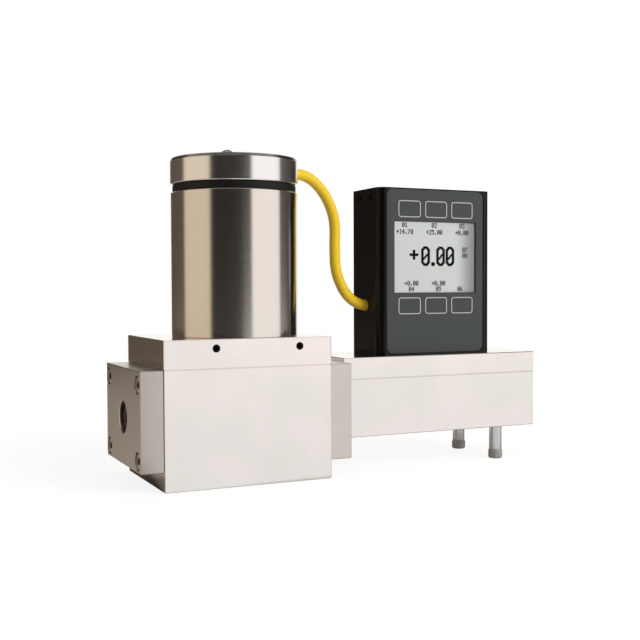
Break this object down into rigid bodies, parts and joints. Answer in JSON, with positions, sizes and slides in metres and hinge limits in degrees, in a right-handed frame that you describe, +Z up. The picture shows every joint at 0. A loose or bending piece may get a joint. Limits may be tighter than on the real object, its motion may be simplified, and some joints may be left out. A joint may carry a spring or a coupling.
{
  "type": "mass flow controller",
  "caption": "Gas mass flow controller: ported steel valve block under a round coil can, a narrower meter body with a keypad display on top, a yellow cable between them and support posts.",
  "frame": {"origin": "middle of the overall footprint, at the height of the valve block's base and the posts' feet", "axes": "+X along the gas path from the outlet port to the inlet port, +Y away from the display's face, +Z up"},
  "size_m": [0.2, 0.057, 0.1441],
  "materials": {
    "stainless_block": "fine ground stainless steel, nearly white where it faces the light",
    "brushed_can": "turned and brushed stainless steel, grain round the axis",
    "stainless_trim": "turned stainless steel",
    "soft_iron": "plated magnetic steel",
    "black_screw": "black oxide steel",
    "black_housing": "satin black paint",
    "black_rubber": "moulded elastomer",
    "grey_rubber": "grey moulded foot",
    "panel_film": "printed polyester keypad film",
    "switch_film": "membrane switch layer",
    "window": "clear hard-coated window",
    "lcd": "grey-green liquid crystal display in its frame",
    "cable_jacket": "yellow cable jacket",
    "coil_plastic": "glass filled nylon",
    "copper_winding": "enamelled copper wire",
    "circuit_board": "green solder mask",
    "connector_black": "moulded connector body"
  },
  "bodies": {
    "controller": {"valve_body": "stainless_block", "valve_top_plate": "stainless_block", "port_cap": "stainless_block", "coupling_plate": "stainless_block", "meter_body": "stainless_block", "sensor_plate": "stainless_block", "solenoid_can": "brushed_can", "can_cap": "brushed_can", "support_posts": "stainless_trim", "cap_nut": "stainless_trim", "valve_seat": "stainless_trim", "guide_tube": "stainless_trim", "inlet_screen": "stainless_trim", "laminar_flow_element": "stainless_trim", "element_retainer": "stainless_trim", "return_spring": "stainless_trim", "meter_screws": "stainless_trim", "sensor_plate_screws": "stainless_trim", "housing_screws": "stainless_trim", "port_cap_screws": "stainless_trim", "passage_plugs": "stainless_trim", "pole_piece": "soft_iron", "yoke_plate": "soft_iron", "set_screws": "black_screw", "coupling_screws": "black_screw", "top_plate_screws": "black_screw", "cover_screws": "black_screw", "display_housing": "black_housing", "top_cover": "black_housing", "cap_seal_ring": "black_rubber", "top_plate_o_ring": "black_rubber", "port_cap_o_ring": "black_rubber", "coupling_o_rings": "black_rubber", "tap_o_rings": "black_rubber", "cable_grommets": "black_rubber", "post_tips": "grey_rubber", "front_panel": "panel_film", "keypad_switch_film": "switch_film", "display_window": "window", "lcd_module": "lcd", "signal_cable": "cable_jacket", "coil_bobbin": "coil_plastic", "coil_winding": "copper_winding", "main_board": "circuit_board", "sensor_board": "circuit_board", "board_spacers": "circuit_board", "signal_socket": "connector_black", "power_jack": "connector_black", "pressure_sensors": "connector_black"},
    "armature": {"armature": "soft_iron", "armature_seal": "black_rubber"}
  },
  "joints": [
    {"name": "armature_slide", "type": "slide", "parent": "controller", "child": "armature", "axis": [0, 0, 1], "range_m": [0, 0.0012], "stiffness_N_per_m": 1500, "springref_m": -0.002, "deforming": ["return_spring"]}
  ]
}
